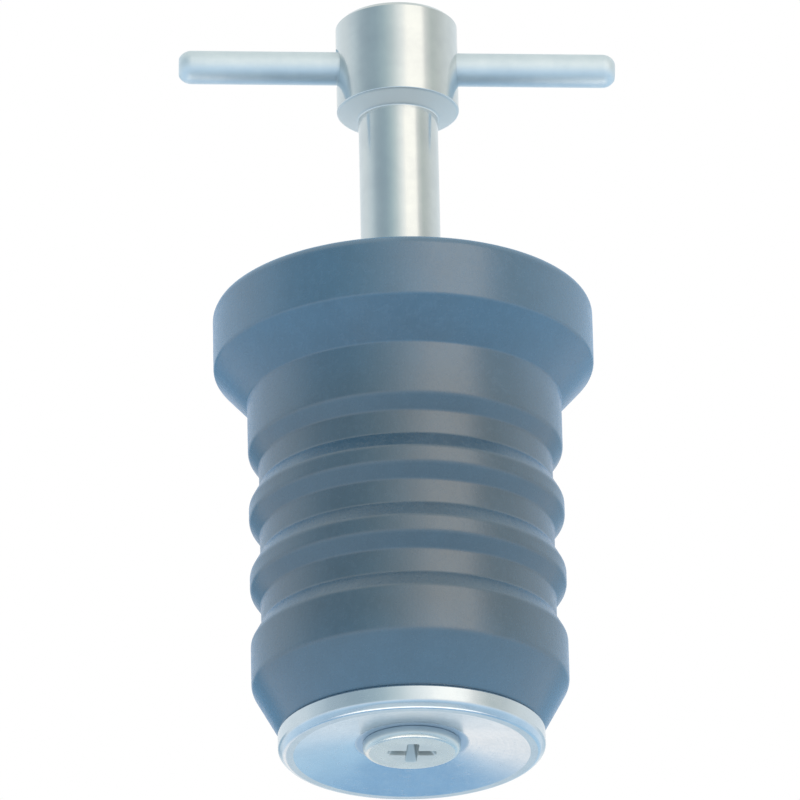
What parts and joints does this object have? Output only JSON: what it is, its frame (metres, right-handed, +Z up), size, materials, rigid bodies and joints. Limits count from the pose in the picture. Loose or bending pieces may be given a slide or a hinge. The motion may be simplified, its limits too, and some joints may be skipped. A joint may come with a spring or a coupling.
{
  "type": "boat drain plug",
  "caption": "Expanding drain plug for a boat: ribbed rubber bung with a flange, a metal end washer and a T-handle that draws a screw up to swell the rubber in its tube.",
  "frame": {"origin": "on the plug's axis, on the circle where the flange's conical seat runs into the barrel", "axes": "+Z up along the axis to the handle, +X along the cross bar, and the barrel goes down along -Z into the drain tube"},
  "size_m": [0.0352, 0.0304, 0.0631],
  "materials": {
    "rubber": "matt, blue-grey",
    "stainless_washer": "polished",
    "stainless_screw": "polished",
    "stainless_handle": "polished, turned"
  },
  "bodies": {
    "bung": {"rubber_bung": "rubber", "thrust_washer": "stainless_washer"},
    "handle": {"handle_stem": "stainless_handle", "cross_bar": "stainless_handle"},
    "draw": {"draw_screw": "stainless_screw", "end_washer": "stainless_washer"}
  },
  "joints": [
    {"name": "handle_turn", "type": "hinge", "parent": "bung", "child": "handle", "pos_m": [0, 0, 0.0093], "axis": [0, 0, -1], "range_deg": [0, 1440]},
    {"name": "screw_draw", "type": "slide", "parent": "bung", "child": "draw", "axis": [0, 0, 1], "range_m": [0, 0.0028], "deforming": ["rubber_bung"]}
  ],
  "couplings": [
    {"joint": "screw_draw", "follows": "handle_turn", "m_per_rad": 0.0001114}
  ]
}
